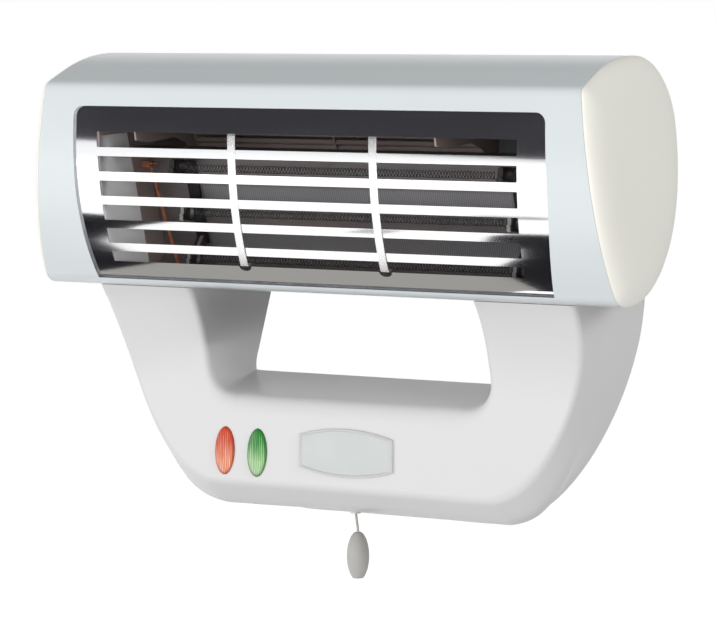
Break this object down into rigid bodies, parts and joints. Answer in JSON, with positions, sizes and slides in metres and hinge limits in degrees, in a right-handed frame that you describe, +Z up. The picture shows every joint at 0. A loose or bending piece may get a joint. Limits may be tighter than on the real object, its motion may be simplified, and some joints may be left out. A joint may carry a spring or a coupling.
{
  "type": "wall fan heater",
  "caption": "Wall-hung bathroom heater: wide tilted-section head with quartz tubes behind a chrome slotted grille, on a U-shaped housing with pilot lamps and a pull-cord switch",
  "frame": {"origin": "centre of the four wall screw holes, on the wall surface", "axes": "+X to the viewer's right, +Y into the wall, +Z up; the front faces -Y"},
  "size_m": [0.498, 0.1501, 0.404],
  "materials": {
    "head_paint": "cool white, slightly bluish satin enamel",
    "cap_moulding": "cream satin moulded plastic",
    "mirror_chrome": "polished chrome plate",
    "plated_steel": "zinc plated sheet",
    "dark_sheet": "heat-darkened black sheet",
    "quartz_glass": "clear quartz glass",
    "coil_wire": "resistance wire, cold",
    "copper_wire": "copper, oxidised",
    "housing_moulding": "warm white satin moulded plastic",
    "red_lens": "translucent red moulding",
    "green_lens": "translucent green moulding",
    "lamp_glass": "small glass lamp",
    "inner_plastic": "ivory heat-resistant plastic",
    "black_plastic": "black plastic",
    "name_plate_face": "bare satin plate",
    "braided_cord": "off-white braided cord",
    "pull_plastic": "grey-white moulded pull",
    "soft_rubber": "black rubber"
  },
  "bodies": {
    "heater": {"head_cover": "head_paint", "head_back": "head_paint", "end_cap_left": "cap_moulding", "end_cap_right": "cap_moulding", "grille": "mirror_chrome", "grille_strap_left": "mirror_chrome", "grille_strap_right": "mirror_chrome", "side_strip_left": "mirror_chrome", "side_strip_right": "mirror_chrome", "trough_reflector": "mirror_chrome", "reflector_end_left": "plated_steel", "reflector_end_right": "plated_steel", "tube_support_left": "dark_sheet", "tube_support_right": "dark_sheet", "quartz_tube_top": "quartz_glass", "quartz_tube_middle": "quartz_glass", "quartz_tube_bottom": "quartz_glass", "heating_coil_top": "coil_wire", "heating_coil_middle": "coil_wire", "heating_coil_bottom": "coil_wire", "tube_clamps_left": "plated_steel", "tube_clamps_right": "plated_steel", "tube_clamp_screws": "plated_steel", "link_wire": "copper_wire", "link_wire_tab": "copper_wire", "fan_scroll": "plated_steel", "fan_bearing": "black_plastic", "motor_core": "plated_steel", "motor_winding": "copper_wire", "motor_brackets": "plated_steel", "thermal_cutout": "black_plastic", "lower_housing": "housing_moulding", "wall_plate": "plated_steel", "head_screws": "plated_steel", "lens_red": "red_lens", "lens_green": "green_lens", "lamp_red": "lamp_glass", "lamp_green": "lamp_glass", "lamp_bracket": "inner_plastic", "name_plate": "name_plate_face", "pull_switch": "inner_plastic", "cord_bush": "inner_plastic", "terminal_block": "inner_plastic", "terminal_screws": "plated_steel", "cable_clamp": "inner_plastic", "cable_clamp_screws": "plated_steel", "inlet_grommet": "soft_rubber"},
    "fan": {"fan_rotor": "dark_sheet", "fan_shaft": "plated_steel", "motor_rotor": "plated_steel"},
    "pull_cord": {"switch_slider": "black_plastic", "pull_cord": "braided_cord", "pull": "pull_plastic"}
  },
  "joints": [
    {"name": "fan_turn", "type": "hinge", "parent": "heater", "child": "fan", "pos_m": [0, -0.044, 0.165], "axis": [1, 0, 0], "continuous": true},
    {"name": "cord_pull", "type": "slide", "parent": "heater", "child": "pull_cord", "axis": [0, 0, -1], "range_m": [0, 0.01], "stiffness_N_per_m": 600, "springref_m": -0.003}
  ]
}
